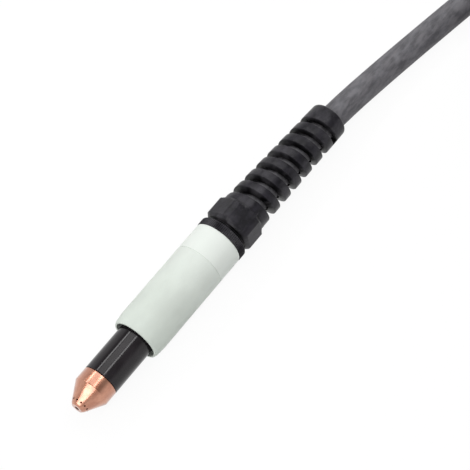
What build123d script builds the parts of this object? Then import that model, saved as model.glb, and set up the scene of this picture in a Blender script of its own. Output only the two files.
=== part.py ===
from build123d import *
import math
import os

# Machine plasma torch with its lead.
# Sizes are in millimetres. Stations run along the torch from the nose, which is station 0.
# The torch lies on a flat surface, its nose towards -X and its lead leaving towards +X.

# Running and seating clearances
SLIP = 0.05
SEAT_GAP = 0.3

# Copper shield
SHIELD_DIAMETER = 25.0
SHIELD_LENGTH = 23.4
SHIELD_NOSE_DIAMETER = 8.0
SHIELD_BEVEL = 1.1
SHIELD_CONE_ANGLE = 29.7
SHIELD_WALL = 1.6
SHIELD_ORIFICE = 3.3
SHIELD_THREAD = 20.2
SHIELD_THREAD_LENGTH = 8.6
SHIELD_REAR_BEVEL = 0.3
VENT_COUNT = 12
VENT_DIAMETER = 1.3
VENT_STATION = 3.0
VENT_PHASE = 14.3
SEAL_SECTION = 1.2
SEAL_STATION = 22.2

# Retaining cap
CAP_DIAMETER = 25.0
CAP_END = 63.0
CAP_WALL = 2.0
CAP_NOSE_LENGTH = 7.6
CAP_NOSE_BORE = 16.8
CAP_EDGE = 0.4
INSERT_FRONT = 25.0
INSERT_LIP = 2.5
INSERT_LIP_BORE = 14.6
INSERT_BORE = 18.0
INSERT_THREAD = 18.8
INSERT_THREAD_LENGTH = 9.0

# Nozzle, swirl ring and electrode
NOZZLE_FRONT = 2.9
NOZZLE_TIP_DIAMETER = 4.6
NOZZLE_ORIFICE = 1.3
NOZZLE_ORIFICE_LENGTH = 2.1
NOZZLE_CONE_END = 12.3
NOZZLE_BODY_DIAMETER = 14.0
NOZZLE_CHAMBER = 8.8
NOZZLE_CHAMBER_START = 10.0
NOZZLE_SEAT_DIAMETER = 7.2
NOZZLE_SEAT_END = 8.0
NOZZLE_FLANGE_DIAMETER = 17.4
NOZZLE_FLANGE = 2.5
NOZZLE_SKIRT_DIAMETER = 14.8
NOZZLE_SKIRT = 3.0
SWIRL_DIAMETER = 17.0
SWIRL_BORE = 11.4
SWIRL_LENGTH = 14.4
SWIRL_HOLES = 6
SWIRL_HOLE = 1.4
ELECTRODE_TIP_DIAMETER = 5.6
ELECTRODE_STEM_DIAMETER = 7.4
ELECTRODE_STEM_START = 14.0
ELECTRODE_FLANGE_DIAMETER = 10.6
ELECTRODE_FLANGE_START = 36.0
ELECTRODE_FLANGE = 6.0
ELECTRODE_SHANK_DIAMETER = 6.6
ELECTRODE_SHANK = 11.0
EMITTER_DIAMETER = 1.6
EMITTER_LENGTH = 2.6

# Torch head
HEAD_SPIGOT_DIAMETER = 16.8
HEAD_SETBACK = 1.0
HEAD_COLLAR_LENGTH = 6.0
HEAD_COLLAR_DIAMETER = 27.8
HEAD_LENGTH = 50.0
PILOT_RING_WALL = 1.4
CATHODE_DIAMETER = 12.6
CATHODE_REACH = 44.0
O_RING_STATION = 49.0
O_RING_SECTION = 1.8
FITTING_DIAMETER = 11.0
FITTING_LENGTH = 20.0
HOSE_DIAMETER = 9.0
FERRULE_DIAMETER = 12.0
FERRULE_LENGTH = 10.0
PILOT_WIRE_DIAMETER = 3.0
PILOT_WIRE_RADIUS = 10.6

# Sleeve
SLEEVE_DIAMETER = 35.0
SLEEVE_OVER_CAP = 6.6
SLEEVE_FRONT_LENGTH = 68.0
SLEEVE_REAR_LENGTH = 20.6
SLEEVE_WALL = 2.0
SLEEVE_MOUTH_DIAMETER = 30.8
SLEEVE_NOSE = 2.2
SLEEVE_NOSE_DIAMETER = 33.2
SLEEVE_MOUTH_BORE = 28.2
SLEEVE_MOUTH_ROUND = 0.6
SLEEVE_TAPER = 10.0
SLEEVE_LIP = 7.0
SLEEVE_SPIGOT = 9.0
SLEEVE_SPIGOT_WALL = 1.5
SLEEVE_REAR_BEVEL = 0.6
SEAM_WIDTH = 0.2

# Cable gland
KNURL_STEP = 0.2
KNURL_LENGTH = 5.6
KNURL_BEVEL = 2.7
NECK_DIAMETER = 30.0
NECK_LENGTH = 13.0
GLAND_BORE = 19.0
GLAND_SPIGOT = 10.0
SEAL_WALL = 2.1
CLAW_WALL = 1.6
CLAW_LENGTH = 7.0
CLAW_REACH = 2.0
CLAW_SLOTS = 8
CLAW_SLOT = 1.2
THREAD_IN_VIEW = 0.3
NUT_FLATS = 33.0
NUT_CORNERS = 36.2
NUT_ROLL = 20.5
NUT_FRONT_BEVEL = 2.7
NUT_HEX_LENGTH = 15.2
NUT_REAR_BEVEL = 2.0
NUT_CONE = 5.0
COLLAR_DIAMETER = 31.6
COLLAR_LENGTH = 4.2

# Spiral bend relief, one moulding with the gland nut
RELIEF_LENGTH = 92.2
RELIEF_BORE = 20.6
RELIEF_FRONT_DIAMETER = 31.4
RELIEF_REAR_DIAMETER = 26.8
RELIEF_YAW = 1.6
RELIEF_DROOP = 0.75
RING_ROUND = 2.4
SLOT_PITCH = 11.65
SLOT_TURNS = 6.67
SLOT_WIDTH = 4.0
SLOT_FLARE = 1.5
SLOT_LEAD = 3.0
SLOT_PHASE = -133.0

# Lead
LEAD_DIAMETER = 18.0
LEAD_JACKET_INSET = 8.0
LEAD_RUN = (56.8, 134.8, 162.8, 188.8)
LEAD_SWAY = (-7.8, -20.3, -25.4, -28.6)
LEAD_RISE = (0.6, 0.0, 0.0, 0.0)
HANK_AWAY = 243.8
HANK_ASIDE = -105.0
HANK_RUN = 130.0
HANK_RADIUS = 67.0
HANK_COLUMNS = 2
HANK_LAYERS = 2
STRAP_WIDTH = 16.0
STRAP_THICKNESS = 1.3
STRAP_SLACK = 0.8
STRAP_HEEL = 3.0

# Connector at the far end of the lead, lying on the hank
TAIL_START = 116.0
TAIL_HOLD = 20.0
TAIL_RISE = (-8.8, 23.0, 26.5, 26.0, 21.8, 21.8)
PLUG_AHEAD = 34.0
BOOT_LENGTH = 52.0
BOOT_FRONT_DIAMETER = 24.0
BOOT_REAR_DIAMETER = 33.0
PLUG_BODY_DIAMETER = 36.0
PLUG_BODY_LENGTH = 40.0
PLUG_SHELL_WALL = 2.5
PLUG_NUT_DIAMETER = 43.0
PLUG_NUT_LENGTH = 24.0
PLUG_NUT_REACH = 10.0
PLUG_NUT_FLUTES = 18
PLUG_FACE_DIAMETER = 28.0
PLUG_FACE_LENGTH = 15.0
POWER_PIN_DIAMETER = 9.0
POWER_PIN_LENGTH = 27.0
SIGNAL_PIN_DIAMETER = 2.4
SIGNAL_PIN_LENGTH = 16.0
SIGNAL_PIN_CIRCLE = 20.0
SIGNAL_PINS = 5

# Stations that follow from the lengths
head_collar = CAP_END + HEAD_SETBACK
cathode_rear = head_collar + CATHODE_REACH
sleeve_start = CAP_END - SLEEVE_OVER_CAP
sleeve_seam = sleeve_start + SLEEVE_FRONT_LENGTH
sleeve_end = sleeve_seam + SLEEVE_REAR_LENGTH
jacket_start = sleeve_end - LEAD_JACKET_INSET
knurl_end = sleeve_end + KNURL_LENGTH
neck_start = knurl_end + KNURL_BEVEL
nut_front = neck_start + THREAD_IN_VIEW
nut_hex_end = nut_front + NUT_HEX_LENGTH
relief_start = nut_hex_end + COLLAR_LENGTH
relief_end = relief_start + RELIEF_LENGTH


def turned(points, rounds=()):
    """Revolves a closed outline of (station, radius) points about the torch axis."""
    face = make_face(Polyline(*points, close=True))
    for station, radius, blend in rounds:
        corner = face.vertices().sort_by_distance((station, radius, 0))[0]
        face = fillet(corner, blend)
    return revolve(face, Axis.X)


def tube(start, end, outer, inner):
    """A plain turned tube between two stations, given its diameters."""
    return turned([(start, inner / 2), (end, inner / 2), (end, outer / 2), (start, outer / 2)])


def rod(start, end, diameter):
    """A plain turned rod between two stations."""
    return turned([(start, 0), (end, 0), (end, diameter / 2), (start, diameter / 2)])


def around(count, phase, tool):
    """Copies of one tool set evenly about the torch axis."""
    return [Rot(X=phase + 360 / count * index) * tool for index in range(count)]


def o_ring(station, radius, section):
    """A ring of round section about the torch axis."""
    circle = Pos(station, radius) * Circle(section / 2)
    return revolve(circle, Axis.X)


# Shield: a nose bevel, a cone and a cylinder with an even wall, orifice and vents
slope = math.tan(math.radians(SHIELD_CONE_ANGLE))
bevel_radius = SHIELD_NOSE_DIAMETER / 2 + SHIELD_BEVEL
cone_end = SHIELD_BEVEL + (SHIELD_DIAMETER / 2 - bevel_radius) / slope
inner_drop = SHIELD_WALL / math.cos(math.radians(SHIELD_CONE_ANGLE))


def shield_radius(station):
    """Outer radius of the shield's cone at a station."""
    return bevel_radius + (station - SHIELD_BEVEL) * slope


inner_nose = shield_radius(SHIELD_WALL) - inner_drop
inner_cone_end = SHIELD_BEVEL + (SHIELD_THREAD / 2 + inner_drop - bevel_radius) / slope
seal_pocket = SHIELD_THREAD / 2 + SEAL_SECTION + SLIP
shield = turned(
    [
        (0, SHIELD_ORIFICE / 2),
        (0, SHIELD_NOSE_DIAMETER / 2),
        (SHIELD_BEVEL, bevel_radius),
        (cone_end, SHIELD_DIAMETER / 2),
        (SHIELD_LENGTH - SHIELD_REAR_BEVEL, SHIELD_DIAMETER / 2),
        (SHIELD_LENGTH, SHIELD_DIAMETER / 2 - SHIELD_REAR_BEVEL),
        (SHIELD_LENGTH, seal_pocket),
        (SEAL_STATION - SEAL_SECTION / 2 - SLIP, seal_pocket),
        (SEAL_STATION - SEAL_SECTION / 2 - SLIP, SHIELD_THREAD / 2),
        (inner_cone_end, SHIELD_THREAD / 2),
        (SHIELD_WALL, inner_nose),
        (SHIELD_WALL, SHIELD_ORIFICE / 2),
    ],
    rounds=[(cone_end, SHIELD_DIAMETER / 2, 1.2)],
)
tilt = math.radians(SHIELD_CONE_ANGLE)
vent_seat = Plane(
    origin=(VENT_STATION, 0, shield_radius(VENT_STATION)),
    z_dir=(-math.sin(tilt), 0, math.cos(tilt)),
)
vent = vent_seat * Cylinder(VENT_DIAMETER / 2, 3 * SHIELD_WALL)
shield -= around(VENT_COUNT, VENT_PHASE, vent)

shield_seal = o_ring(SEAL_STATION, SHIELD_THREAD / 2 + SEAL_SECTION / 2, SEAL_SECTION)

# Retaining cap: an insulating shell with a brass insert pressed in from the rear
cap_front = SHIELD_LENGTH + SEAT_GAP
cap_nose = cap_front - CAP_NOSE_LENGTH
insert_radius = CAP_DIAMETER / 2 - CAP_WALL
cap_nose_radius = SHIELD_THREAD / 2 - SLIP
retaining_cap = turned(
    [
        (cap_nose, CAP_NOSE_BORE / 2),
        (cap_nose, cap_nose_radius - CAP_EDGE),
        (cap_nose + CAP_EDGE, cap_nose_radius),
        (cap_front, cap_nose_radius),
        (cap_front, CAP_DIAMETER / 2 - CAP_EDGE),
        (cap_front + CAP_EDGE, CAP_DIAMETER / 2),
        (CAP_END - CAP_EDGE, CAP_DIAMETER / 2),
        (CAP_END, CAP_DIAMETER / 2 - CAP_EDGE),
        (CAP_END, insert_radius + SLIP),
        (INSERT_FRONT, insert_radius + SLIP),
        (INSERT_FRONT, CAP_NOSE_BORE / 2),
    ]
)
insert_end = CAP_END - CAP_EDGE
insert_lip_end = INSERT_FRONT + INSERT_LIP
insert_thread_start = insert_end - INSERT_THREAD_LENGTH
cap_insert = turned(
    [
        (INSERT_FRONT, INSERT_LIP_BORE / 2),
        (INSERT_FRONT, insert_radius),
        (insert_end, insert_radius),
        (insert_end, INSERT_THREAD / 2),
        (insert_thread_start, INSERT_THREAD / 2),
        (insert_thread_start, INSERT_BORE / 2),
        (insert_lip_end, INSERT_BORE / 2),
        (insert_lip_end, INSERT_LIP_BORE / 2),
    ]
)

# Nozzle, held by its flange behind the insert's lip
flange_start = insert_lip_end + SLIP
flange_end = flange_start + NOZZLE_FLANGE
skirt_end = flange_end + NOZZLE_SKIRT
nozzle = turned(
    [
        (NOZZLE_FRONT, NOZZLE_ORIFICE / 2),
        (NOZZLE_FRONT, NOZZLE_TIP_DIAMETER / 2),
        (NOZZLE_CONE_END, NOZZLE_BODY_DIAMETER / 2),
        (flange_start, NOZZLE_BODY_DIAMETER / 2),
        (flange_start, NOZZLE_FLANGE_DIAMETER / 2),
        (flange_end, NOZZLE_FLANGE_DIAMETER / 2),
        (flange_end, NOZZLE_SKIRT_DIAMETER / 2),
        (skirt_end, NOZZLE_SKIRT_DIAMETER / 2),
        (skirt_end, NOZZLE_CHAMBER / 2),
        (NOZZLE_CHAMBER_START, NOZZLE_CHAMBER / 2),
        (NOZZLE_SEAT_END, NOZZLE_SEAT_DIAMETER / 2),
        (NOZZLE_FRONT + NOZZLE_ORIFICE_LENGTH, NOZZLE_ORIFICE / 2),
    ]
)

# Swirl ring: slips over the nozzle's skirt and centres the electrode
swirl_start = flange_end + SLIP
swirl_end = swirl_start + SWIRL_LENGTH
swirl_pocket = NOZZLE_SKIRT_DIAMETER / 2 + SLIP
swirl_ring = turned(
    [
        (swirl_start, swirl_pocket),
        (swirl_start, SWIRL_DIAMETER / 2),
        (swirl_end, SWIRL_DIAMETER / 2),
        (swirl_end, SWIRL_BORE / 2),
        (skirt_end + SLIP, SWIRL_BORE / 2),
        (skirt_end + SLIP, swirl_pocket),
    ]
)
swirl_hole_station = skirt_end + SWIRL_HOLE
swirl_hole = Pos(swirl_hole_station, SWIRL_BORE / 2 - SWIRL_HOLE, SWIRL_DIAMETER / 2)
swirl_hole *= Cylinder(SWIRL_HOLE / 2, SWIRL_DIAMETER)
swirl_ring -= around(SWIRL_HOLES, 0, swirl_hole)

# Electrode with its emitter, screwed into the cathode block
seat_slope = (NOZZLE_SEAT_DIAMETER - NOZZLE_ORIFICE) / 2
seat_slope /= NOZZLE_SEAT_END - NOZZLE_FRONT - NOZZLE_ORIFICE_LENGTH
tip_gap = 1.0
tip_radius = ELECTRODE_TIP_DIAMETER / 2
electrode_corner = NOZZLE_FRONT + NOZZLE_ORIFICE_LENGTH + tip_gap
electrode_corner += (tip_radius - NOZZLE_ORIFICE / 2) / seat_slope
electrode_front = electrode_corner - 1.2 / seat_slope
electrode_flange_end = ELECTRODE_FLANGE_START + ELECTRODE_FLANGE
electrode_end = electrode_flange_end + ELECTRODE_SHANK
emitter_radius = EMITTER_DIAMETER / 2
electrode = turned(
    [
        (electrode_front + EMITTER_LENGTH, 0),
        (electrode_front + EMITTER_LENGTH, emitter_radius + SLIP),
        (electrode_front, emitter_radius + SLIP),
        (electrode_front, tip_radius - 1.2),
        (electrode_corner, tip_radius),
        (ELECTRODE_STEM_START, tip_radius),
        (ELECTRODE_STEM_START + 1.0, ELECTRODE_STEM_DIAMETER / 2),
        (ELECTRODE_FLANGE_START, ELECTRODE_STEM_DIAMETER / 2),
        (ELECTRODE_FLANGE_START, ELECTRODE_FLANGE_DIAMETER / 2),
        (electrode_flange_end, ELECTRODE_FLANGE_DIAMETER / 2),
        (electrode_flange_end, ELECTRODE_SHANK_DIAMETER / 2),
        (electrode_end, ELECTRODE_SHANK_DIAMETER / 2),
        (electrode_end, 0),
    ]
)
emitter = rod(electrode_front, electrode_front + EMITTER_LENGTH, EMITTER_DIAMETER)

# Torch head: moulded insulator around the cathode block, with the pilot ring on its nose
cathode_radius = CATHODE_DIAMETER / 2
pilot_ring_radius = INSERT_THREAD / 2 - SLIP
pilot_ring_inner = pilot_ring_radius - PILOT_RING_WALL
head_bore = cathode_radius + SLIP
collar_end = head_collar + HEAD_COLLAR_LENGTH
head_end = head_collar + HEAD_LENGTH
sleeve_bore = SLEEVE_DIAMETER / 2 - SLEEVE_WALL
head_front = swirl_end + SEAT_GAP
thread_start = insert_thread_start + SEAT_GAP
o_ring_outer = INSERT_BORE / 2 - SLIP
groove_floor = o_ring_outer - O_RING_SECTION - SLIP
groove_half = O_RING_SECTION / 2 + 0.1
torch_head = turned(
    [
        (head_front, head_bore),
        (head_front, HEAD_SPIGOT_DIAMETER / 2),
        (O_RING_STATION - groove_half, HEAD_SPIGOT_DIAMETER / 2),
        (O_RING_STATION - groove_half, groove_floor),
        (O_RING_STATION + groove_half, groove_floor),
        (O_RING_STATION + groove_half, HEAD_SPIGOT_DIAMETER / 2),
        (thread_start, HEAD_SPIGOT_DIAMETER / 2),
        (thread_start, pilot_ring_inner - SLIP),
        (head_collar, pilot_ring_inner - SLIP),
        (head_collar, HEAD_COLLAR_DIAMETER / 2),
        (collar_end, HEAD_COLLAR_DIAMETER / 2),
        (collar_end, sleeve_bore - SLIP),
        (head_end, sleeve_bore - SLIP),
        (head_end, head_bore),
    ]
)
wire_passage = Pos(head_collar + HEAD_LENGTH / 2, 0, PILOT_WIRE_RADIUS) * Rot(Y=90)
wire_passage *= Cylinder(PILOT_WIRE_DIAMETER / 2 + 0.2, HEAD_LENGTH + 20)
torch_head -= wire_passage
head_seal = o_ring(O_RING_STATION, o_ring_outer - O_RING_SECTION / 2, O_RING_SECTION)
pilot_ring = tube(
    thread_start, head_collar, 2 * pilot_ring_radius, 2 * pilot_ring_inner
)

socket_radius = ELECTRODE_SHANK_DIAMETER / 2
cathode_block = turned(
    [
        (electrode_flange_end, socket_radius + SLIP),
        (electrode_flange_end, ELECTRODE_FLANGE_DIAMETER / 2),
        (head_front, ELECTRODE_FLANGE_DIAMETER / 2),
        (head_front, cathode_radius),
        (cathode_rear, cathode_radius),
        (cathode_rear, 0),
        (electrode_end + SEAT_GAP, 0),
        (electrode_end + SEAT_GAP, socket_radius + SLIP),
    ]
)

# Feed from the lead: fitting, hose, ferrule and pilot wire
fitting_end = cathode_rear + FITTING_LENGTH
feed_fitting = turned(
    [
        (cathode_rear, 0),
        (cathode_rear, FITTING_DIAMETER / 2),
        (cathode_rear + FITTING_LENGTH / 2, FITTING_DIAMETER / 2),
        (cathode_rear + FITTING_LENGTH / 2, HOSE_DIAMETER / 4),
        (fitting_end, HOSE_DIAMETER / 4),
        (fitting_end, 0),
    ]
)
hose_start = cathode_rear + FITTING_LENGTH / 2 + SEAT_GAP
feed_hose = turned(
    [
        (hose_start, HOSE_DIAMETER / 4 + SLIP),
        (hose_start, HOSE_DIAMETER / 2),
        (jacket_start, HOSE_DIAMETER / 2),
        (jacket_start, HOSE_DIAMETER / 4 + SLIP),
    ]
)
hose_ferrule = tube(
    hose_start + 1.0, hose_start + 1.0 + FERRULE_LENGTH, FERRULE_DIAMETER, HOSE_DIAMETER + 2 * SLIP
)
wire_exit = LEAD_DIAMETER / 2 - PILOT_WIRE_DIAMETER / 2 - 0.6
wire_route = FilletPolyline(
    (head_collar + SEAT_GAP, 0, PILOT_WIRE_RADIUS),
    (head_end + 1.0, 0, PILOT_WIRE_RADIUS),
    (jacket_start - 1.0, 0, wire_exit),
    (jacket_start, 0, wire_exit),
    radius=1.0,
)
wire_section = Plane(origin=wire_route @ 0, z_dir=wire_route % 0)
wire_section *= Circle(PILOT_WIRE_DIAMETER / 2)
pilot_wire = sweep(wire_section, path=wire_route)

# Sleeve in two lengths that meet at a seam
mouth_radius = SLEEVE_MOUTH_DIAMETER / 2
nose_radius = SLEEVE_NOSE_DIAMETER / 2
mounting_sleeve = turned(
    [
        (sleeve_start, SLEEVE_MOUTH_BORE / 2),
        (sleeve_start, mouth_radius),
        (sleeve_start + SLEEVE_NOSE, nose_radius),
        (sleeve_start + SLEEVE_TAPER, SLEEVE_DIAMETER / 2),
        (sleeve_seam - SEAM_WIDTH, SLEEVE_DIAMETER / 2),
        (sleeve_seam, SLEEVE_DIAMETER / 2 - SEAM_WIDTH),
        (sleeve_seam, sleeve_bore),
        (sleeve_start + SLEEVE_LIP, sleeve_bore),
        (sleeve_start + SLEEVE_LIP, SLEEVE_MOUTH_BORE / 2),
    ],
    rounds=[
        (sleeve_start, mouth_radius, SLEEVE_MOUTH_ROUND),
        (sleeve_start + SLEEVE_NOSE, nose_radius, SLEEVE_NOSE),
        (sleeve_start + SLEEVE_TAPER, SLEEVE_DIAMETER / 2, SLEEVE_TAPER),
    ],
)
spigot_radius = sleeve_bore - SLIP
rear_bore = spigot_radius - SLEEVE_SPIGOT_WALL
rear_sleeve = turned(
    [
        (sleeve_seam - SLEEVE_SPIGOT, rear_bore),
        (sleeve_seam - SLEEVE_SPIGOT, spigot_radius),
        (sleeve_seam, spigot_radius),
        (sleeve_seam, SLEEVE_DIAMETER / 2 - SEAM_WIDTH),
        (sleeve_seam + SEAM_WIDTH, SLEEVE_DIAMETER / 2),
        (sleeve_end - SLEEVE_REAR_BEVEL, SLEEVE_DIAMETER / 2),
        (sleeve_end, SLEEVE_DIAMETER / 2 - SLEEVE_REAR_BEVEL),
        (sleeve_end, rear_bore),
    ]
)

# Cable gland body: knurled flange, threaded spigot and neck
gland_bore = GLAND_BORE / 2
neck_radius = NECK_DIAMETER / 2
knurl_radius = SLEEVE_DIAMETER / 2 + KNURL_STEP
neck_end = neck_start + NECK_LENGTH
claw_seat = neck_end - CLAW_LENGTH + CLAW_REACH
seal_outer = gland_bore + SEAL_WALL
claw_outer = seal_outer + CLAW_WALL
gland_body = turned(
    [
        (sleeve_end - GLAND_SPIGOT, gland_bore),
        (sleeve_end - GLAND_SPIGOT, rear_bore - SLIP),
        (sleeve_end, rear_bore - SLIP),
        (sleeve_end, knurl_radius),
        (knurl_end, knurl_radius),
        (neck_start, neck_radius),
        (neck_end - 0.6, neck_radius),
        (neck_end, neck_radius - 0.6),
        (neck_end, claw_outer + SLIP),
        (claw_seat, claw_outer + SLIP),
        (claw_seat, gland_bore),
    ]
)
claw_start = claw_seat + SLIP
claw_end = claw_start + CLAW_LENGTH
gland_claw = tube(claw_start, claw_end, 2 * claw_outer, 2 * seal_outer)
claw_slot = Pos(claw_end, 0, claw_outer) * Box(1.4 * CLAW_LENGTH, CLAW_SLOT, 4 * CLAW_WALL)
gland_claw -= around(CLAW_SLOTS, 0, claw_slot)
seal_bore = LEAD_DIAMETER + 2 * SLIP
gland_seal = tube(claw_start, claw_end, 2 * seal_outer - 2 * SLIP, seal_bore)

# Gland nut: six flats turned down at the corners, a plain collar, and the spiral relief
nut_corner = NUT_CORNERS / 2
nut_thread = neck_radius + SLIP
nut_thread_end = neck_end + SEAT_GAP
relief_bore = RELIEF_BORE / 2
collar_radius = COLLAR_DIAMETER / 2
nut_envelope = turned(
    [
        (nut_front, 0),
        (nut_front, nut_corner - NUT_FRONT_BEVEL),
        (nut_front + NUT_FRONT_BEVEL, nut_corner),
        (nut_hex_end, nut_corner),
        (nut_hex_end + NUT_REAR_BEVEL, nut_corner - NUT_REAR_BEVEL),
        (nut_hex_end + NUT_REAR_BEVEL, 0),
    ]
)
flats = Plane(origin=(nut_front, 0, 0), x_dir=(0, 1, 0), z_dir=(1, 0, 0))
flats *= RegularPolygon(NUT_FLATS / 2, 6, major_radius=False)
hexagon = extrude(flats, nut_hex_end + NUT_REAR_BEVEL - nut_front)
collar = rod(nut_hex_end, relief_start + 1.0, COLLAR_DIAMETER)
nut_solid = Rot(X=NUT_ROLL) * hexagon & nut_envelope
nut_solid += collar

relief_front = RELIEF_FRONT_DIAMETER / 2
relief_rear = RELIEF_REAR_DIAMETER / 2
relief_cone = turned(
    [
        (0, relief_bore),
        (0, relief_front),
        (RELIEF_LENGTH, relief_rear),
        (RELIEF_LENGTH, relief_bore),
    ],
    rounds=[(RELIEF_LENGTH, relief_rear, RING_ROUND)],
)
taper = (relief_front - relief_rear) / RELIEF_LENGTH
slot_radius = relief_front - SLOT_LEAD * taper
slot_phase = math.radians(SLOT_PHASE)
slot_out = (0, -math.sin(slot_phase), math.cos(slot_phase))
slot_frame = Plane(origin=(SLOT_LEAD, 0, 0), x_dir=slot_out, z_dir=(1, 0, 0))
slot_path = slot_frame * Helix(
    SLOT_PITCH, SLOT_PITCH * SLOT_TURNS, slot_radius, cone_angle=-math.degrees(math.atan(taper))
)
slot_half = SLOT_WIDTH / 2
slot_depth = relief_front - relief_bore + 1.5
slot_flank = [
    (-slot_depth, slot_half - 0.3),
    (-SLOT_FLARE, slot_half),
    (1.0, slot_half + SLOT_FLARE + 0.5),
]
slot_outline = slot_flank + [(depth, -half) for depth, half in reversed(slot_flank)]
slot_section = Plane(origin=slot_path @ 0, x_dir=slot_out, z_dir=slot_path % 0) * make_face(
    Polyline(*slot_outline, close=True)
)
slot = sweep(slot_section, path=slot_path, is_frenet=True)
relief_spring = relief_cone - slot
for turn in (0, SLOT_TURNS):
    slot_end = Pos(SLOT_LEAD + SLOT_PITCH * turn, 0, relief_front)
    slot_end *= Cylinder(slot_half, 2 * slot_depth)
    relief_spring -= Rot(X=SLOT_PHASE + 360 * turn) * slot_end
relief_place = Pos(relief_start, 0, 0) * Rot(Y=RELIEF_DROOP, Z=-RELIEF_YAW)
relief = relief_place * relief_spring
nut_hollow = turned(
    [
        (nut_front - 1, 0),
        (nut_front - 1, nut_thread),
        (nut_thread_end, nut_thread),
        (nut_thread_end + NUT_CONE, relief_bore + 3 * SLIP),
        (relief_start + 2.0, relief_bore + 3 * SLIP),
        (relief_start + 2.0, 0),
    ]
)
gland_nut = nut_solid - nut_hollow + relief

# Lead: out of the gland, down to the surface and along it into the hank
lead_radius = LEAD_DIAMETER / 2
axis_height = -gland_nut.bounding_box().min.Z


def arc_radii(points):
    """Bend radius for each inner corner of a route, from its shorter neighbouring run."""
    radii = []
    for before, corner, after in zip(points, points[1:], points[2:]):
        first = Vector(*corner) - Vector(*before)
        second = Vector(*after) - Vector(*corner)
        turn = math.radians(first.get_angle(second))
        radii.append(0.45 * min(first.length, second.length) / math.tan(turn / 2))
    return radii


def cord(points, radius):
    """A round cord of one radius along straight runs joined by arcs."""
    radii = arc_radii(points)
    print("bend radii", [round(value) for value in radii])
    route = FilletPolyline(*points, radius=radii)
    section = Plane(origin=route @ 0, z_dir=route % 0) * Circle(radius)
    solid = sweep(section, path=route)
    print("volume over section times length", solid.volume / (math.pi * radius**2 * route.length))
    return solid


relief_tip = (relief_place * Pos(RELIEF_LENGTH - 3.2, 0, 0)).position
lead_points = [(jacket_start, 0, 0), (relief_start + 5.0, 0, 0), (relief_tip.X, relief_tip.Y, relief_tip.Z)]
for run, sway, rise in zip(LEAD_RUN, LEAD_SWAY, LEAD_RISE):
    lead_points.append((relief_end + run, sway, lead_radius + rise - axis_height))
torch_lead = cord(lead_points, lead_radius)

# Hank of the spare lead, as one closed solid of its outer shape
hank_x = relief_end + HANK_AWAY
near_end = hank_x - HANK_RUN / 2
hank_width = HANK_COLUMNS * LEAD_DIAMETER
hank_height = HANK_LAYERS * LEAD_DIAMETER
hank_corner = 0.45 * LEAD_DIAMETER
hank_face = SlotCenterToCenter(HANK_RUN, 2 * HANK_RADIUS + hank_width)
hank_face -= SlotCenterToCenter(HANK_RUN, 2 * HANK_RADIUS - hank_width)
lead_coil = extrude(hank_face, hank_height)
lead_coil = fillet(lead_coil.edges().filter_by(Axis.Z, reverse=True), hank_corner)
lead_coil = Pos(hank_x, HANK_ASIDE, -axis_height) * lead_coil


def strap(section):
    """A band round a section, its lower run pressed level with the surface."""
    band = offset(section, STRAP_THICKNESS) - section
    return extrude(Plane.XZ * band, STRAP_WIDTH / 2, both=True)


bundle_width = hank_width + 2 * STRAP_SLACK
bundle_height = hank_height - STRAP_THICKNESS
bundle_middle = STRAP_THICKNESS + SLIP + bundle_height / 2
bundle = Pos(0, bundle_middle) * Rectangle(bundle_width, bundle_height)
heels = bundle.vertices().sort_by(Axis.Y)
bundle = fillet(heels[2:], hank_corner)
bundle = fillet(bundle.vertices().sort_by(Axis.Y)[:2], STRAP_HEEL)
strap_groove = Box(2 * bundle_width, STRAP_WIDTH + 4 * SLIP, 2 * STRAP_THICKNESS + 4 * SLIP)
hank_strap_place = Pos(hank_x + HANK_RUN / 2 + HANK_RADIUS, HANK_ASIDE, -axis_height)
hank_strap = hank_strap_place * strap(bundle)
lead_coil -= hank_strap_place * strap_groove

# Connector: rubber boot, body, face with its pins, and a fluted coupling nut
plug_height = hank_height + PLUG_NUT_DIAMETER / 2 + SEAT_GAP - axis_height
plug_x = near_end + PLUG_AHEAD
plug_y = HANK_ASIDE + HANK_RADIUS
boot_mouth = lead_radius + 3 * SLIP
body_radius = PLUG_BODY_DIAMETER / 2
plug_face_radius = PLUG_FACE_DIAMETER / 2
body_start = BOOT_LENGTH - 8.0
body_end = body_start + PLUG_BODY_LENGTH
boot_grip = BOOT_REAR_DIAMETER / 2 - 3.0
shell_bore = body_radius - PLUG_SHELL_WALL
boot = turned(
    [
        (0, boot_mouth),
        (0, BOOT_FRONT_DIAMETER / 2),
        (BOOT_LENGTH - 10.0, BOOT_REAR_DIAMETER / 2),
        (body_start, BOOT_REAR_DIAMETER / 2),
        (body_start, boot_grip),
        (BOOT_LENGTH, boot_grip),
        (BOOT_LENGTH, boot_mouth),
    ],
    rounds=[(0, BOOT_FRONT_DIAMETER / 2, 1.4), (BOOT_LENGTH - 10.0, BOOT_REAR_DIAMETER / 2, 8.0)],
)
for rib in range(5):
    station = 6.0 + 6.0 * rib
    groove = tube(station, station + 2.4, 2 * BOOT_REAR_DIAMETER, BOOT_FRONT_DIAMETER - 1.6 + rib * 1.3)
    boot -= groove
face_start = body_end - PLUG_FACE_LENGTH
nut_ledge = body_end - PLUG_NUT_LENGTH + PLUG_NUT_REACH
flange_rear = body_end - 3.0
plug_body = turned(
    [
        (body_start, boot_grip + SLIP),
        (body_start, body_radius),
        (nut_ledge - 4.0, body_radius),
        (nut_ledge - 4.0, body_radius + 1.0),
        (nut_ledge - 1.0, body_radius + 1.0),
        (nut_ledge - 1.0, body_radius),
        (flange_rear, body_radius),
        (flange_rear, body_radius + 1.0),
        (body_end, body_radius + 1.0),
        (body_end, plug_face_radius + SLIP),
        (face_start, plug_face_radius + SLIP),
        (face_start, boot_grip + SLIP),
    ],
    rounds=[(body_start, body_radius, 1.0)],
)
plug_nut_end = nut_ledge + PLUG_NUT_LENGTH
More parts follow.
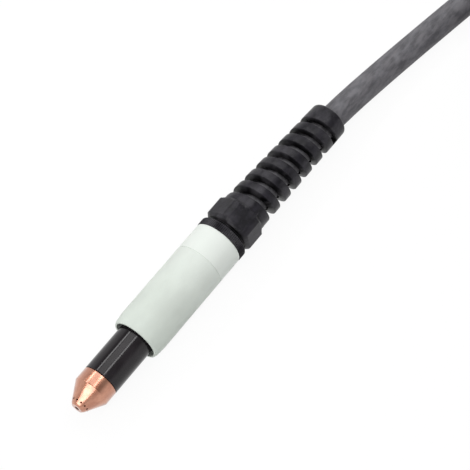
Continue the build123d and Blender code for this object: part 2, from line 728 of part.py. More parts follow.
plug_nut = turned(
    [
        (nut_ledge, body_radius + 2 * SLIP),
        (nut_ledge, PLUG_NUT_DIAMETER / 2 - 1.0),
        (nut_ledge + 1.0, PLUG_NUT_DIAMETER / 2),
        (plug_nut_end - 1.0, PLUG_NUT_DIAMETER / 2),
        (plug_nut_end, PLUG_NUT_DIAMETER / 2 - 1.0),
        (plug_nut_end, body_radius + 1.1),
        (flange_rear - SEAT_GAP, body_radius + 1.1),
        (flange_rear - SEAT_GAP, body_radius + 2 * SLIP),
    ]
)
flute = Pos(nut_ledge + PLUG_NUT_LENGTH / 2, 0, PLUG_NUT_DIAMETER / 2 + 0.9) * Rot(Y=90)
flute *= Cylinder(2.0, PLUG_NUT_LENGTH - 6.0)
plug_nut -= around(PLUG_NUT_FLUTES, 10, flute)
signal_pin = Pos(body_end - 2.0, 0, SIGNAL_PIN_CIRCLE / 2) * Rot(Y=90)
signal_bore = signal_pin * Cylinder(SIGNAL_PIN_DIAMETER / 2, PLUG_FACE_LENGTH + 8)
signal_pin *= Cylinder(SIGNAL_PIN_DIAMETER / 2, SIGNAL_PIN_LENGTH)
plug_face = turned(
    [
        (face_start, POWER_PIN_DIAMETER / 2),
        (face_start, plug_face_radius),
        (body_end - 1.0, plug_face_radius),
        (body_end - 1.0, POWER_PIN_DIAMETER / 2),
    ]
)
plug_face -= around(SIGNAL_PINS, 36, signal_bore)
signal_pins = Compound(around(SIGNAL_PINS, 36, signal_pin))
pin_start = face_start - 4.0
power_pin = turned(
    [
        (pin_start, 0),
        (pin_start, POWER_PIN_DIAMETER / 2),
        (pin_start + POWER_PIN_LENGTH - 0.8, POWER_PIN_DIAMETER / 2),
        (pin_start + POWER_PIN_LENGTH, POWER_PIN_DIAMETER / 2 - 0.8),
        (pin_start + POWER_PIN_LENGTH, 0),
    ]
)
power_bore = tube(pin_start + POWER_PIN_LENGTH / 2, pin_start + POWER_PIN_LENGTH + 1, 3.6, 0)
power_pin -= power_bore
plug_place = Pos(plug_x, plug_y, plug_height)

# Tail: out of the hank's far side, over its near end and back along its top into the boot
tail_radius = HANK_RADIUS - LEAD_DIAMETER / 4
tail_middle = plug_y - tail_radius
tail_reach = tail_radius / math.cos(math.radians(22.5))
tail_route = [(near_end + TAIL_START, tail_middle - tail_radius)]
for corner in (247.5, 202.5, 157.5, 112.5):
    away = tail_reach * math.cos(math.radians(corner))
    across = tail_reach * math.sin(math.radians(corner))
    tail_route.append((near_end + away, tail_middle + across))
tail_route.append((plug_x + TAIL_HOLD, plug_y))
tail_base = hank_height - axis_height
tail_points = [(*spot, tail_base + rise) for spot, rise in zip(tail_route, TAIL_RISE)]
lead_tail = cord(tail_points, lead_radius)

# Strap round the hank and the boot
boot_strap_x = plug_x + TAIL_HOLD + STRAP_WIDTH / 2
boot_slope = (BOOT_REAR_DIAMETER - BOOT_FRONT_DIAMETER) / 2 / (BOOT_LENGTH - 10.0)
held_radius = BOOT_FRONT_DIAMETER / 2 + boot_slope * (TAIL_HOLD + STRAP_WIDTH) + SLIP
held_boot = Pos(0, plug_height + axis_height) * Circle(held_radius)
held = make_hull(bundle.edges() + held_boot.edges())
boot_strap_place = Pos(boot_strap_x, plug_y, -axis_height) * Rot(Z=90)
boot_strap = boot_strap_place * strap(held)
lead_coil -= boot_strap_place * strap_groove

# Everything in place: the torch's own outline is centred on the origin and rests on z = 0
torch = {
    "shield": shield,
    "shield_seal": shield_seal,
    "retaining_cap": retaining_cap,
    "cap_insert": cap_insert,
    "nozzle": nozzle,
    "swirl_ring": swirl_ring,
    "electrode": electrode,
    "emitter": emitter,
    "torch_head": torch_head,
    "head_seal": head_seal,
    "pilot_ring": pilot_ring,
    "cathode_block": cathode_block,
    "feed_fitting": feed_fitting,
    "feed_hose": feed_hose,
    "hose_ferrule": hose_ferrule,
    "pilot_wire": pilot_wire,
    "mounting_sleeve": mounting_sleeve,
    "rear_sleeve": rear_sleeve,
    "gland_body": gland_body,
    "gland_claw": gland_claw,
    "gland_seal": gland_seal,
    "gland_nut": gland_nut,
}
lead = {
    "torch_lead": torch_lead,
    "lead_coil": lead_coil,
    "lead_tail": lead_tail,
    "hank_strap": hank_strap,
    "boot_strap": boot_strap,
    "plug_boot": plug_place * boot,
    "plug_body": plug_place * plug_body,
    "plug_nut": plug_place * plug_nut,
    "plug_face": plug_place * plug_face,
    "power_pin": plug_place * power_pin,
    "signal_pins": plug_place * signal_pins,
}
outline = Compound([Part() + piece for piece in torch.values()]).bounding_box()
middle = outline.center()
home = Pos(-middle.X, -middle.Y, -outline.min.Z)
print("origin at station", round(middle.X, 3), round(middle.Y, 3), "axis height", -outline.min.Z)

os.makedirs("parts", exist_ok=True)
for name, piece in {**torch, **lead}.items():
    export_step(home * piece, f"parts/{name}.step")
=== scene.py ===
import logging
from dataclasses import dataclass, field
from enum import Enum
from math import atan2, cos, pi, radians, sin, tan
from typing import Union

import bpy
from bpy.types import ID, Material, Mesh, Node, NodeSocket, NodeTree, Object
from mathutils import Matrix, Vector


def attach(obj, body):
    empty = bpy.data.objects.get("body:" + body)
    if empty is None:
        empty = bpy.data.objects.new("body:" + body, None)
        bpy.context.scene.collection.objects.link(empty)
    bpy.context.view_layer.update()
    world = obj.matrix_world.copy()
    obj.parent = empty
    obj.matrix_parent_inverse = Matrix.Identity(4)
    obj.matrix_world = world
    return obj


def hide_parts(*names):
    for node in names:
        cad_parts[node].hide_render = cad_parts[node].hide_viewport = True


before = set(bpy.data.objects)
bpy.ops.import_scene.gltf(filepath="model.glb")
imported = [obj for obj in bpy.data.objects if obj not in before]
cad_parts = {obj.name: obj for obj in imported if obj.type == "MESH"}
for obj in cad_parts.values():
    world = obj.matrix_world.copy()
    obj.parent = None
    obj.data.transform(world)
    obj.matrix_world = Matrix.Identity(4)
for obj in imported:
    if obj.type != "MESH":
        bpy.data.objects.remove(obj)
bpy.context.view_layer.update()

LOG = logging.getLogger("torch")

MM = 0.001
FULL_TURN = 2 * pi
ORIGIN_STATION = 132.749
AXIS_HEIGHT = 18.0608
WELD_DISTANCE = 1e-6
SMOOTH_ANGLE = radians(35)
WHITE = (1.0, 1.0, 1.0, 1.0)

Number = Union[float, "Field"]
Key = int | str
Span = tuple[float, float]
Spot = tuple[float, float, float]
Colour = tuple[float, float, float]


def place(station: float, across: float = 0.0, height: float = AXIS_HEIGHT) -> Vector:
    """A point in the shared frame, in metres.

    Args:
        station: Distance from the nose along the torch, in millimetres.
        across: Distance from the torch's middle plane, in millimetres.
        height: Height above the surface, in millimetres.

    Returns:
        The point.
    """
    return Vector(((station - ORIGIN_STATION) * MM, across * MM, height * MM))


def at(*spot: float) -> Matrix:
    """From a piece's own axis, in millimetres from this place on it, to the shared frame."""
    return Matrix.Translation(place(*spot))


class Body(Enum):
    """The bodies that the new pieces ride on."""

    TORCH = "torch"
    COUPLING_NUT = "coupling_nut"


# ---- node trees


@dataclass(frozen=True)
class Field:
    """A number inside a node tree that can be reckoned with like a plain one."""

    graph: "Graph"
    socket: NodeSocket

    def __add__(self, other: Number) -> "Field":
        """Sum."""
        return self.graph.math("ADD", self, other)

    def __sub__(self, other: Number) -> "Field":
        """Difference."""
        return self.graph.math("SUBTRACT", self, other)

    def __rsub__(self, other: Number) -> "Field":
        """Difference from a plain number."""
        return self.graph.math("SUBTRACT", other, self)

    def __mul__(self, other: Number) -> "Field":
        """Product."""
        return self.graph.math("MULTIPLY", self, other)

    def __truediv__(self, other: Number) -> "Field":
        """Quotient."""
        return self.graph.math("DIVIDE", self, other)

    def over(self, other: Number) -> "Field":
        """1 where it is greater than the other number, else 0."""
        return self.graph.math("GREATER_THAN", self, other)


@dataclass
class Graph:
    """Thin builder round one node tree."""

    tree: NodeTree

    def add(self, kind: str, inputs: dict[Key, object] | None = None, **settings: object) -> Node:
        """Adds a node.

        Args:
            kind: The node's type name.
            inputs: What goes into its inputs, by their name or number.
            settings: Properties to set on it.

        Returns:
            The node.
        """
        node = self.tree.nodes.new(kind)
        for name, value in settings.items():
            setattr(node, name, value)
        return self.fill(node, inputs or {})

    def fill(self, node: Node, inputs: dict[Key, object]) -> Node:
        """Feeds several inputs of a node, by their name or number."""
        for key, value in inputs.items():
            self.feed(node.inputs[key], value)
        return node

    def feed(self, socket: NodeSocket, value: object) -> None:
        """Links a field or socket to an input, or sets a plain value on it."""
        if isinstance(value, Field):
            value = value.socket
        if isinstance(value, NodeSocket):
            self.tree.links.new(value, socket)
        else:
            socket.default_value = value

    def find(self, kind: str) -> Node:
        """The one node of a kind that the tree came with."""
        return next(node for node in self.tree.nodes if node.type == kind)

    def read(self, kind: str, output: Key = 0) -> Field:
        """An output of a new node that needs no inputs."""
        return Field(self, self.add(kind).outputs[output])

    def split(self, vector: object) -> list[Field]:
        """The three parts of a vector."""
        parts = self.add("ShaderNodeSeparateXYZ", {0: vector})
        return [Field(self, part) for part in parts.outputs]

    def math(self, operation: str, first: Number, second: Number = 0.0) -> Field:
        """One step of reckoning."""
        node = self.add("ShaderNodeMath", {0: first, 1: second}, operation=operation)
        return Field(self, node.outputs[0])

    def least(self, first: Number, second: Number) -> Field:
        """The lesser of two numbers."""
        return self.math("MINIMUM", first, second)

    def pick(self, chooser: Number, low: Number, high: Number) -> Field:
        """Low where the chooser is 0 and high where it is 1."""
        return chooser * (high - low) + low

    def ramp(self, value: Number, span: Span) -> Field:
        """0 below the span, 1 above it, and a smooth rise between."""
        low, high = span
        node = self.add(
            "ShaderNodeMapRange", {"Value": value, "From Min": low, "From Max": high},
            interpolation_type="SMOOTHSTEP",
        )
        return Field(self, node.outputs[0])

    def noise(self, size: float, detail: float, stretch: float = 1.0) -> Field:
        """A noise pattern.

        Args:
            size: About how wide its features are, in millimetres.
            detail: How many finer layers it has.
            stretch: How much it is drawn out along the torch.

        Returns:
            The pattern, around one half.
        """
        where = self.add("ShaderNodeTexCoord").outputs["Object"]
        drawn = self.add("ShaderNodeMapping", {"Vector": where, "Scale": (1.0 / stretch, 1.0, 1.0)})
        pattern = self.add("ShaderNodeTexNoise", {
            "Vector": drawn.outputs[0], "Scale": 1.0 / (size * MM), "Detail": detail,
            "Roughness": NOISE_ROUGHNESS,
        })
        return Field(self, pattern.outputs["Fac"])

    def blend(self, factor: Number, first: object, second: object) -> NodeSocket:
        """Mixes two colours."""
        mix = self.add("ShaderNodeMix", {"Factor": factor}, data_type="RGBA")
        colours = [socket for socket in mix.inputs if socket.type == "RGBA"]
        for socket, colour in zip(colours, (first, second)):
            self.feed(socket, (*colour, 1.0) if isinstance(colour, tuple) else colour)
        return next(socket for socket in mix.outputs if socket.type == "RGBA")


class GeometryTree(Graph):
    """A Geometry Nodes tree with named inputs, used for one piece at a time."""

    def __init__(self, name: str) -> None:
        """Makes the tree with its geometry sockets."""
        tree = bpy.data.node_groups.new(name, "GeometryNodeTree")
        for way in ("INPUT", "OUTPUT"):
            tree.interface.new_socket("Geometry", in_out=way, socket_type="NodeSocketGeometry")
        super().__init__(tree)
        self.entry = self.add("NodeGroupInput")
        self.values: dict[str, float] = {}

    def number(self, name: str, value: float) -> Field:
        """Adds a named input, whole if its value is.

        Args:
            name: The input's name.
            value: The value that the piece gives it.

        Returns:
            The input as a field.
        """
        kind = "NodeSocketInt" if isinstance(value, int) else "NodeSocketFloat"
        item = self.tree.interface.new_socket(name, in_out="INPUT", socket_type=kind)
        self.values[item.identifier] = value
        return Field(self, self.entry.outputs[name])

    def grid(self, columns: Number, rows: Number) -> tuple[NodeSocket, Field, Field]:
        """A sheet of vertices, with the column and the row of each.

        Args:
            columns: How many vertices it has along.
            rows: How many it has across.

        Returns:
            The sheet, its columns and its rows.
        """
        sheet = self.add("GeometryNodeMeshGrid", {"Vertices X": columns, "Vertices Y": rows})
        index = self.read("GeometryNodeInputIndex")
        column = self.math("FLOOR", (index + 0.5) / rows)
        return sheet.outputs["Mesh"], column, index - column * rows

    def wrap(self, sheet: NodeSocket, along: Number, radius: Number, angle: Number) -> NodeSocket:
        """Puts each vertex of a sheet at a station, radius and angle about the torch axis."""
        across = radius * (-1.0) * self.math("SINE", angle)
        upward = radius * self.math("COSINE", angle)
        spot = self.add("ShaderNodeCombineXYZ", {0: along, 1: across, 2: upward}).outputs[0]
        move = self.add("GeometryNodeSetPosition", {"Geometry": sheet, "Position": spot})
        return self.add(
            "GeometryNodeMergeByDistance", {"Geometry": move.outputs[0], "Distance": WELD_DISTANCE}
        ).outputs[0]

    def piece(
        self, shape: NodeSocket, finish: "Finish", matrix: Matrix, seed: Mesh | None = None
    ) -> Object:
        """Ends the tree in real geometry with its material, and keeps the result as a piece.

        Args:
            shape: The shape at the tree's end.
            finish: The piece's finish.
            matrix: Where the piece goes in the shared frame.
            seed: The mesh that the tree starts from, if it reads one.

        Returns:
            The piece, smooth but for its sharp edges, with its place in its mesh.
        """
        real = self.add("GeometryNodeRealizeInstances", {0: shape}).outputs[0]
        dressing = {"Geometry": real, "Material": finish.build()}
        self.add("NodeGroupOutput", {0: self.add("GeometryNodeSetMaterial", dressing).outputs[0]})
        name = self.tree.name
        carrier = link(name + "_seed", seed or bpy.data.meshes.new(name + "_seed"))
        modifier = carrier.modifiers.new("shape", "NODES")
        modifier.node_group = self.tree
        for identifier, value in self.values.items():
            modifier[identifier] = value
        graph = bpy.context.evaluated_depsgraph_get()
        graph.update()
        made = bpy.data.meshes.new_from_object(carrier.evaluated_get(graph), depsgraph=graph)
        bpy.data.objects.remove(carrier)
        made.name = name
        made.transform(matrix)
        made.polygons.foreach_set("use_smooth", [True] * len(made.polygons))
        made.set_sharp_from_angle(angle=SMOOTH_ANGLE)
        return link(name, made)


def link(name: str, data: ID) -> Object:
    """Makes an object of a mesh, a curve, a lamp or a camera, and puts it in the scene."""
    made = bpy.data.objects.new(name, data)
    bpy.context.scene.collection.objects.link(made)
    return made


# ---- finishes

# The patterns that every finish is made of: sizes in millimetres, the rest in shares.
NOISE_ROUGHNESS = 0.55
MOTTLE_DETAIL = 5.0
MOTTLE_RAMP = (0.32, 0.68)
GRAIN_DETAIL = 3.0
GRAIN_SHEEN = 0.06
RING_PITCHES = 20.0
RING_DETAIL = 2.0
RING_STRETCH = 0.05
RING_SHEEN = 0.12
# Painted shade in the hollows: how far round they are sought, how finely, and how dark.
HOLLOW_SHADE_REACH = 9.0
HOLLOW_SHADE_SAMPLES = 8
HOLLOW_SHADE_RAMP = (0.5, 0.97)
HOLLOW_SHADE_COLOUR = (0.0015, 0.0014, 0.0015)
# Convex edges lightened, as wear and as a painted highlight.
EDGE_WEAR_AND_HIGHLIGHT_RAMP = (0.52, 0.58)
EDGE_WEAR_AND_HIGHLIGHT_FRAY = 0.03
CLOUD_SCALE = 2.3
CLOUD_DETAIL = 6.0
CLOUD_STRETCH = 1.6
CLOUD_RAMP = (0.42, 0.72)
CLOUD_SHARE = 0.6
SPECK_SIZE = 0.9
SPECK_DETAIL = 2.0
SPECK_RAMP = (0.62, 0.78)
SPECK_SHARE = 0.5
DUST_SHEEN = 0.3
COAT_ROUGHNESS = 0.12


@dataclass(frozen=True)
class Finish:
    """One surface: its colour with mottling, its sheen, its grain, its dust, its wear,
    its painted shade and its painted highlight.

    Sizes, pitches and depths are in millimetres. Hollow shade is how much painted shade darkens
    the hollows, and edge wear and highlight is how much the convex edges are lightened, as wear
    and as a painted highlight.
    """

    name: str
    colour: Colour
    second: Colour
    roughness: float = 0.5
    roughness_spread: float = 0.08
    metallic: float = 0.0
    mottle_size: float = 6.0
    mottle_stretch: float = 1.0
    grain_size: float = 0.4
    grain_depth: float = 0.02
    turning_pitch: float = 0.0
    turning_depth: float = 0.0
    dust: float = 0.0
    dust_colour: Colour = (0.12, 0.12, 0.12)
    edge_wear_and_highlight: float = 0.0
    edge_wear_and_highlight_colour: Colour = (0.12, 0.12, 0.12)
    coat: float = 0.0
    specular: float = 0.5
    hollow_shade: float = 0.0

    def depth(self, graph: Graph) -> Field:
        """Painted shade: 0 in the open, 1 in the hollows, darkened as if little light got in."""
        around = graph.add(
            "ShaderNodeAmbientOcclusion", {"Distance": HOLLOW_SHADE_REACH * MM}, samples=HOLLOW_SHADE_SAMPLES
        )
        return 1.0 - graph.ramp(Field(graph, around.outputs["AO"]), HOLLOW_SHADE_RAMP)

    def film(self, graph: Graph) -> Field:
        """How much dust lies where: clouds of it and specks."""
        cloud = graph.noise(self.mottle_size * CLOUD_SCALE, CLOUD_DETAIL, CLOUD_STRETCH)
        speck = graph.ramp(graph.noise(SPECK_SIZE, SPECK_DETAIL), SPECK_RAMP)
        return (graph.ramp(cloud, CLOUD_RAMP) * CLOUD_SHARE + speck * SPECK_SHARE) * self.dust

    def build(self) -> Material:
        """Makes the material, once.

        Returns:
            The material, shared by all pieces of this finish.
        """
        material = bpy.data.materials.get(self.name)
        if material:
            return material
        material = bpy.data.materials.new(self.name)
        material.use_nodes = True
        graph = Graph(material.node_tree)
        mottle = graph.noise(self.mottle_size, MOTTLE_DETAIL, self.mottle_stretch)
        colour = graph.blend(graph.ramp(mottle, MOTTLE_RAMP), self.colour, self.second)
        fine = graph.noise(self.grain_size, GRAIN_DETAIL)
        rough = (mottle - 0.5) * (2.0 * self.roughness_spread) + self.roughness
        rough = rough + (fine - 0.5) * GRAIN_SHEEN
        height = fine * self.grain_depth
        if self.turning_depth:
            rings = graph.noise(self.turning_pitch * RING_PITCHES, RING_DETAIL, RING_STRETCH)
            height = height + rings * self.turning_depth
            rough = rough + (rings - 0.5) * RING_SHEEN
        # Painted shade: the hollows are darkened towards near black.
        if self.hollow_shade:
            colour = graph.blend(self.depth(graph) * self.hollow_shade, colour, HOLLOW_SHADE_COLOUR)
        # Wear and painted highlight: convex edges are lightened towards the edge colour.
        if self.edge_wear_and_highlight:
            corner = graph.read("ShaderNodeNewGeometry", "Pointiness") + (fine - 0.5) * EDGE_WEAR_AND_HIGHLIGHT_FRAY
            worn_and_lit = graph.ramp(corner, EDGE_WEAR_AND_HIGHLIGHT_RAMP) * self.edge_wear_and_highlight
            colour = graph.blend(worn_and_lit, colour, self.edge_wear_and_highlight_colour)
        if self.dust:
            film = self.film(graph)
            colour = graph.blend(film, colour, self.dust_colour)
            rough = rough + film * DUST_SHEEN
        bump = graph.add("ShaderNodeBump", {"Strength": 1.0, "Distance": MM, "Height": height})
        graph.fill(graph.find("BSDF_PRINCIPLED"), {
            "Base Color": colour,
            "Roughness": graph.least(rough, 1.0),
            "Metallic": self.metallic,
            "Specular IOR Level": self.specular,
            "Coat Weight": self.coat,
            "Coat Roughness": COAT_ROUGHNESS,
            "Normal": bump.outputs[0],
        })
        return material


COPPER = Finish(
    "turned_copper", (0.60, 0.29, 0.19), (0.44, 0.185, 0.115), roughness=0.31, metallic=1.0,
    mottle_size=5.0, mottle_stretch=2.5, grain_size=0.25, grain_depth=0.001, turning_pitch=0.16,
    turning_depth=0.0015, coat=1.0,
)
BRASS = Finish(
    "turned_brass", (0.80, 0.58, 0.26), (0.68, 0.47, 0.20), roughness=0.3, metallic=1.0,
    mottle_size=4.0, grain_size=0.25, grain_depth=0.005, turning_pitch=0.16, turning_depth=0.008,
)
STEEL = Finish(
    "emitter_metal", (0.55, 0.55, 0.57), (0.42, 0.42, 0.44), roughness=0.35, metallic=1.0,
    mottle_size=1.0,
)
CERAMIC = Finish(
    "swirl_ceramic", (0.52, 0.34, 0.24), (0.44, 0.28, 0.20), roughness=0.55, mottle_size=3.0,
)
CAP_BLACK = Finish(
    "cap_gloss_black", (0.0085, 0.0065, 0.008), (0.0125, 0.0098, 0.0118), roughness=0.13,
    roughness_spread=0.03, mottle_size=7.0, mottle_stretch=3.0, grain_size=0.3, grain_depth=0.002,
    turning_pitch=0.2, turning_depth=0.001, specular=0.32, dust=0.09,
    dust_colour=(0.15, 0.14, 0.15),
)
# The head's hollows get painted shade.
HEAD_BLACK = Finish(
    "head_black", (0.006, 0.005, 0.005), (0.011, 0.009, 0.009), mottle_size=5.0, specular=0.12,
    hollow_shade=0.7,
)
# The pale sleeve's lighter convex edges are a painted highlight, the catch-light on its chamfers.
SLEEVE_PALE = Finish(
    "sleeve_pale", (0.598, 0.648, 0.595), (0.549, 0.594, 0.546), roughness=0.56,
    mottle_size=14.0, mottle_stretch=1.8, grain_size=0.5, grain_depth=0.015, dust=0.14,
    dust_colour=(0.50, 0.51, 0.48), edge_wear_and_highlight=0.6, edge_wear_and_highlight_colour=(0.80, 0.83, 0.80), specular=0.25,
)
# The gland's hollows get painted shade, near black in the slots, and its convex edges are lightened
# as wear and as a painted highlight.
NYLON_BLACK = Finish(
    "gland_nylon", (0.004, 0.0035, 0.0055), (0.017, 0.0155, 0.021), roughness=0.34,
    roughness_spread=0.1, mottle_size=5.0, mottle_stretch=1.4, grain_size=0.9, grain_depth=0.10,
    specular=0.2, hollow_shade=0.98, dust=0.5, dust_colour=(0.110, 0.105, 0.116), edge_wear_and_highlight=0.2,
    edge_wear_and_highlight_colour=(0.12, 0.118, 0.125),
)
SEAL_BLACK = Finish(
    "seal_rubber", (0.018, 0.018, 0.019), (0.028, 0.028, 0.03), roughness=0.6, mottle_size=2.0,
)
LEAD_GREY = Finish(
    "lead_jacket", (0.058, 0.056, 0.063), (0.125, 0.120, 0.130), roughness=0.62,
    roughness_spread=0.12, mottle_size=3.2, mottle_stretch=3.0, grain_size=1.0, grain_depth=0.14,
    dust=0.5, dust_colour=(0.225, 0.225, 0.245),
)
HOSE_BLACK = Finish("hose_black", (0.05, 0.05, 0.055), (0.07, 0.07, 0.075), roughness=0.6)
WIRE_RED = Finish(
    "wire_red", (0.45, 0.03, 0.025), (0.38, 0.025, 0.02), roughness=0.4, grain_depth=0.01,
)
BOOT_BLACK = Finish(
    "boot_rubber", (0.022, 0.022, 0.024), (0.034, 0.034, 0.036), roughness=0.62, grain_size=0.5,
    grain_depth=0.04, dust=0.3,
)
PLUG_BLACK = Finish(
    "plug_plastic", (0.022, 0.022, 0.023), (0.032, 0.032, 0.034), roughness=0.4, mottle_size=5.0,
    grain_size=0.35, grain_depth=0.03, dust=0.12, edge_wear_and_highlight=0.5,
)
PLUG_FACE_GREY = Finish(
    "plug_insulator", (0.22, 0.22, 0.23), (0.27, 0.27, 0.28), mottle_size=3.0,
)
STRAP_WOVEN = Finish(
    "woven_strap", (0.020, 0.020, 0.022), (0.035, 0.035, 0.038), roughness=0.85, mottle_size=1.5,
    grain_size=0.8, grain_depth=0.12, dust=0.3, dust_colour=(0.11, 0.11, 0.11),
)


def dress(finish: Finish, *nodes: str) -> list[Object]:
    """Gives CAD nodes a better material, their shape being right as it is.

    Args:
        finish: The material's finish.
        nodes: The names of the nodes.

    Returns:
        The nodes' objects.
    """
    for node in nodes:
        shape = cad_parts[node]
        shape.data.materials.clear()
        shape.data.materials.append(finish.build())
        LOG.info("dressed %s", node)
    return [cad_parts[node] for node in nodes]


def settle(piece: Object, slot: str, *nodes: str, body: Body = Body.TORCH) -> Object:
    """Makes a finished piece ride on its body in place of its CAD nodes.

    Args:
        piece: The finished piece.
        slot: The record's material slot; not used.
        nodes: The CAD nodes that it stands for.
        body: The body that it rides on.

    Returns:
        The piece.
    """
    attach(piece, body.value)
    if nodes:
        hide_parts(*nodes)
    LOG.info("built %s", piece.name)
    return piece


# ---- turned pieces

SHORTEST = 1e-6
LARGEST_SHARE = 0.48
ARC_STEP = radians(15)
TURNS_AHEAD = 100.0

# Marks of an outline's corners.
RIBBED = 1.0
PLAIN = 0.0
THREADED = -1.0

# Roundings of its edges, in millimetres.
SOFT_EDGE = 0.5
FIRM_EDGE = 0.4
FINE_EDGE = 0.3


@dataclass
class Outline:
    """A closed outline of station and radius, in millimetres, with rounded corners.

    A corner has a rounding and a mark: how far ribs show there, or a thread if it is below 0.
    """

    corners: list[tuple[float, ...]] = field(default_factory=list)

    def path(self, *corners: tuple[float, ...]) -> "Outline":
        """Adds corners: station, radius and, where they aren't 0, rounding and mark."""
        self.corners += [(*corner, 0.0, 0.0)[:4] for corner in corners]
        return self

    def line(self, end: float, radius: float, steps: int, mark: float) -> None:
        """Adds a marked run from the last corner, in so many steps."""
        start, first = self.corners[-1][:2]
        for step in range(1, steps + 1):
            part = step / steps
            spot = start + (end - start) * part, first + (radius - first) * part
            self.path((*spot, 0.0, mark))

    def arc(self, here: Vector, before: Vector, after: Vector, blend: float) -> list[Span]:
        """The points of one rounded corner.

        Args:
            here: The corner.
            before: The way to the corner before it.
            after: The way to the corner after it.
            blend: The radius of the rounding, which shrinks where the sides are short.

        Returns:
            The stations and radii of its points.
        """
        half = before.angle(after) / 2
        sides = LARGEST_SHARE * before.length, LARGEST_SHARE * after.length
        reach = min(blend / tan(half), *sides)
        size = reach * tan(half)
        back, ahead = before.normalized(), after.normalized()
        middle = here + (back + ahead).normalized() * (size / sin(half))
        first, last = here + back * reach, here + ahead * reach
        start = atan2(first.y - middle.y, first.x - middle.x)
        sweep = atan2(last.y - middle.y, last.x - middle.x) - start
        sweep = (sweep + pi) % FULL_TURN - pi
        steps = max(2, round(abs(sweep) / ARC_STEP))
        turns = [start + sweep * step / steps for step in range(steps + 1)]
        return [(middle.x + size * cos(t), middle.y + size * sin(t)) for t in turns]

    def mesh(self, name: str) -> Mesh:
        """The outline as a mesh of loose vertices: station, radius and mark."""
        spots: list[Spot] = []
        corners = self.corners
        for index, (station, radius, blend, mark) in enumerate(corners):
            here = Vector((station, radius))
            before = Vector(corners[index - 1][:2]) - here
            after = Vector(corners[(index + 1) % len(corners)][:2]) - here
            if blend <= 0 or min(before.length, after.length) < SHORTEST:
                spots.append((station, radius, mark))
            else:
                spots += [(*spot, mark) for spot in self.arc(here, before, after, blend)]
        spots.append(spots[0])
        made = bpy.data.meshes.new(name)
        made.from_pydata([(s * MM, r * MM, m) for s, r, m in spots], [], [])
        return made


@dataclass
class Turning:
    """A turned piece, with flats, ribs and a thread where its outline is marked."""

    name: str
    outline: Outline
    finish: Finish
    columns: int = 144
    sides: int = 0
    flats: float = 0.0
    roll: float = 0.0
    ribs: int = 0
    rib_depth: float = 0.0
    rib_power: float = 1.0
    thread_pitch: float = 0.0
    thread_depth: float = 0.0

    def build(self, matrix: Matrix) -> Object:
        """Turns the outline about the torch axis.

        Args:
            matrix: Where the piece's own axis lies.

        Returns:
            The piece.
        """
        tree = GeometryTree(self.name)
        columns = tree.number("Columns", self.columns)
        seed = self.outline.mesh(self.name)
        rows = tree.number("Rows", len(seed.vertices))
        sheet, column, row = tree.grid(columns + 1.0, rows)
        corners = {
            "Geometry": tree.entry.outputs["Geometry"],
            "Value": tree.read("GeometryNodeInputPosition"),
            "Index": row,
        }
        found = tree.add("GeometryNodeSampleIndex", corners, data_type="FLOAT_VECTOR")
        station, radius, mark = tree.split(found.outputs[0])
        angle = column * FULL_TURN / columns
        if self.sides:
            apothem = tree.number("Half Flats", self.flats / 2 * MM)
            share = FULL_TURN / self.sides
            roll = tree.number("Roll", radians(self.roll))
            turned = tree.math("FLOORED_MODULO", angle - roll, share)
            radius = tree.least(radius, apothem / tree.math("COSINE", turned - share / 2))
        if self.ribs:
            wave = tree.math("COSINE", angle * tree.number("Ribs", self.ribs)) * 0.5 + 0.5
            wave = tree.math("POWER", wave, tree.number("Rib Shape", self.rib_power))
            ribbed = tree.math("MAXIMUM", mark, 0.0)
            radius = radius - wave * ribbed * tree.number("Rib Depth", self.rib_depth * MM)
        if self.thread_depth:
            pitch = tree.number("Thread Pitch", self.thread_pitch * MM)
            along = tree.math("FRACT", station / pitch - angle / FULL_TURN + TURNS_AHEAD)
            tooth = 1.0 - tree.math("ABSOLUTE", along - 0.5) * 2.0
            depth = tree.number("Thread Depth", self.thread_depth * MM)
            radius = radius + tooth * tree.math("MAXIMUM", mark * (-1.0), 0.0) * depth
        shape = tree.wrap(sheet, station, radius, angle)
        return tree.piece(shape, self.finish, matrix, seed)


# ---- the torch's pieces


class FrontEnd:
    """Shield, retaining cap and what they hold: right as they are in the CAD, and dressed."""

    def build(self) -> None:
        """Dresses each node."""
        dress(COPPER, "shield", "nozzle", "electrode")
        dress(BRASS, "cap_insert", "pilot_ring", "cathode_block", "feed_fitting", "hose_ferrule")
        dress(SEAL_BLACK, "shield_seal", "head_seal")
        dress(CAP_BLACK, "retaining_cap")
        dress(CERAMIC, "swirl_ring")
        dress(STEEL, "emitter")
        dress(HEAD_BLACK, "torch_head")
        dress(HOSE_BLACK, "feed_hose")
        dress(WIRE_RED, "pilot_wire")


@dataclass
class Sleeve:
    """The pale barrel in its two lengths, the front one with a short rounded nose."""

    mouth: float = 58.1
    mouth_radius: float = 16.2
    mouth_bore: float = 14.9
    inner_round: float = 0.2
    nose: float = 2.2
    nose_radius: float = 16.95
    taper: float = 8.3
    lip: float = 5.3
    radius: float = 17.5
    bore: float = 15.5
    seam: float = 124.4
    seam_bevel: float = 0.25

    def build(self) -> None:
        """Builds the front length and dresses the rear one."""
        outline = Outline().path(
            (self.mouth, self.mouth_bore, self.inner_round),
            (self.mouth, self.mouth_radius, SOFT_EDGE),
            (self.mouth + self.nose, self.nose_radius, self.nose),
            (self.mouth + self.taper, self.radius, self.taper),
            (self.seam - self.seam_bevel, self.radius),
            (self.seam, self.radius - self.seam_bevel),
            (self.seam, self.bore),
            (self.mouth + self.lip, self.bore),
            (self.mouth + self.lip, self.mouth_bore),
        )
        front = Turning("sleeve_front", outline, SLEEVE_PALE)
        settle(front.build(at(0.0)), "sleeve", "mounting_sleeve")
        dress(SLEEVE_PALE, "rear_sleeve")


